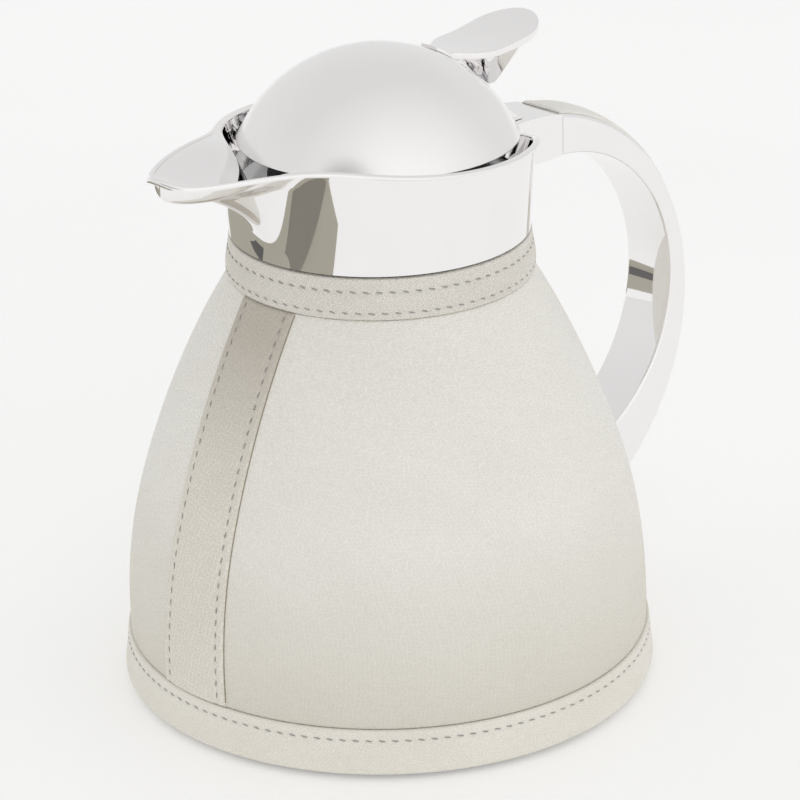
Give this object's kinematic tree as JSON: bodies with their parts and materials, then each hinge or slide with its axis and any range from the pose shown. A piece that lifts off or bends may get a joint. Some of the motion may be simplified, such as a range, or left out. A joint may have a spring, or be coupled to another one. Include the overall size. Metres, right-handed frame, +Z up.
{
  "type": "vacuum carafe",
  "caption": "Leather-covered vacuum carafe with a polished collar and pouring spout, a domed lid opened by a thumb lever, a loop handle and a screw-in base.",
  "frame": {"origin": "centre of the foot pad's underside, on the carafe's axis, at table level", "axes": "+Z up along the body's axis, +X from the axis towards the handle, the spout points to -X, +Y to the left of the spout's direction seen from the handle"},
  "size_m": [0.2011, 0.154, 0.1857],
  "materials": {
    "leather_body": "cream grained leather, matt",
    "leather_trim": "cream grained leather band and strip, stitched with grey thread",
    "chrome": "polished",
    "satin_chrome": "fine satin",
    "steel": "drawn sheet and turned parts",
    "glass": "silvered vacuum glass",
    "rubber": "matt",
    "plastic": "moulded, black",
    "foot_felt": "pressed felt pad"
  },
  "bodies": {
    "carafe": {"outer_shell": "steel", "base_ring": "steel", "body_leather": "leather_body", "front_strip": "leather_trim", "neck_band": "leather_trim", "base_band": "leather_trim", "collar": "chrome", "throat_ring": "steel", "mouth_gasket": "rubber", "glass_inner": "glass", "glass_outer": "glass", "handle_block": "chrome", "handle_frame": "chrome", "handle_inlay": "leather_trim", "handle_dowels": "steel", "handle_stud": "steel", "stud_nut": "steel", "hinge_bracket": "chrome", "hinge_pin": "steel", "hinge_spring": "steel"},
    "cushion": {"liner_cushion": "rubber"},
    "screw_base": {"base_plate": "steel", "base_gasket": "rubber", "foot_pad": "foot_felt"},
    "lid": {"lid_dome": "satin_chrome", "lid_plate": "steel", "hinge_leaf": "steel", "thumb_lever": "chrome", "lever_screws": "steel", "plug_post": "steel", "plug_screw": "steel", "plug_spring": "steel"},
    "plug": {"seal_plug": "plastic", "plug_gasket": "rubber"}
  },
  "joints": [
    {"name": "lid_hinge", "type": "hinge", "parent": "carafe", "child": "lid", "pos_m": [0.0425, 0, 0.1574], "axis": [0, 1, 0], "range_deg": [0, 48], "stiffness_Nm_per_rad": 0.03, "springref_deg": -34.38},
    {"name": "plug_travel", "type": "slide", "parent": "lid", "child": "plug", "axis": [0, 0, 1], "range_m": [0, 0.0015], "stiffness_N_per_m": 700, "springref_m": -0.002, "deforming": ["plug_spring"]},
    {"name": "cushion_drop", "type": "slide", "parent": "carafe", "child": "cushion", "axis": [0, 0, -1], "range_m": [0, 0.0075]},
    {"name": "base_turn", "type": "hinge", "parent": "cushion", "child": "screw_base", "pos_m": [0, 0, 0], "axis": [0, 0, 1], "range_deg": [0, 1080]}
  ],
  "couplings": [
    {"joint": "cushion_drop", "follows": "base_turn", "m_per_rad": 0.00039789}
  ]
}
